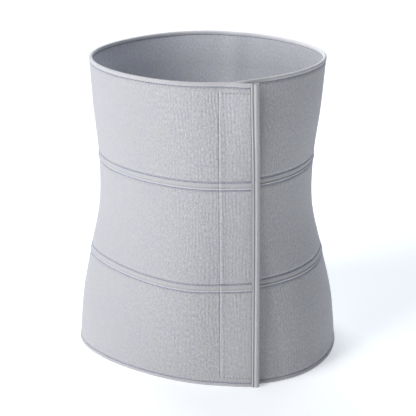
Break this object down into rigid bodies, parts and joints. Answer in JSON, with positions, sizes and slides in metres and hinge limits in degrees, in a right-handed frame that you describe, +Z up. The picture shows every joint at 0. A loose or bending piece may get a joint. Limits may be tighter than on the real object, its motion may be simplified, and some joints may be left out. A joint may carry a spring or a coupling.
{
  "type": "abdominal binder",
  "caption": "Elastic abdominal binder standing as an open waisted tube, with horizontal panels joined by stitched seam bands and a flap lapped over the front.",
  "frame": {"origin": "middle of the object's bounding box on the surface that it stands on", "axes": "+Z up along the torso, -Y the front with the flap, +X towards the wearer's left, where the flap's free end lies"},
  "size_m": [0.265, 0.2116, 0.305],
  "materials": {
    "elastic_cloth": "fine woven ribbed elastic, matt pale bluish grey",
    "seam_cloth": "flat woven band, matt pale grey, dark blue stitch lines",
    "binding_cloth": "folded woven binding, matt pale grey, dark blue stitch line",
    "hook_tape": "hook tape, short stiff pile, matt grey"
  },
  "bodies": {
    "root": {"lower_panel": "elastic_cloth", "waist_panel": "elastic_cloth", "upper_panel": "elastic_cloth", "lower_seam_band": "seam_cloth", "upper_seam_band": "seam_cloth", "hem_binding": "binding_cloth", "top_binding": "binding_cloth", "flap_end_binding": "binding_cloth", "under_end_binding": "binding_cloth", "hook_strip": "hook_tape"}
  },
  "joints": []
}
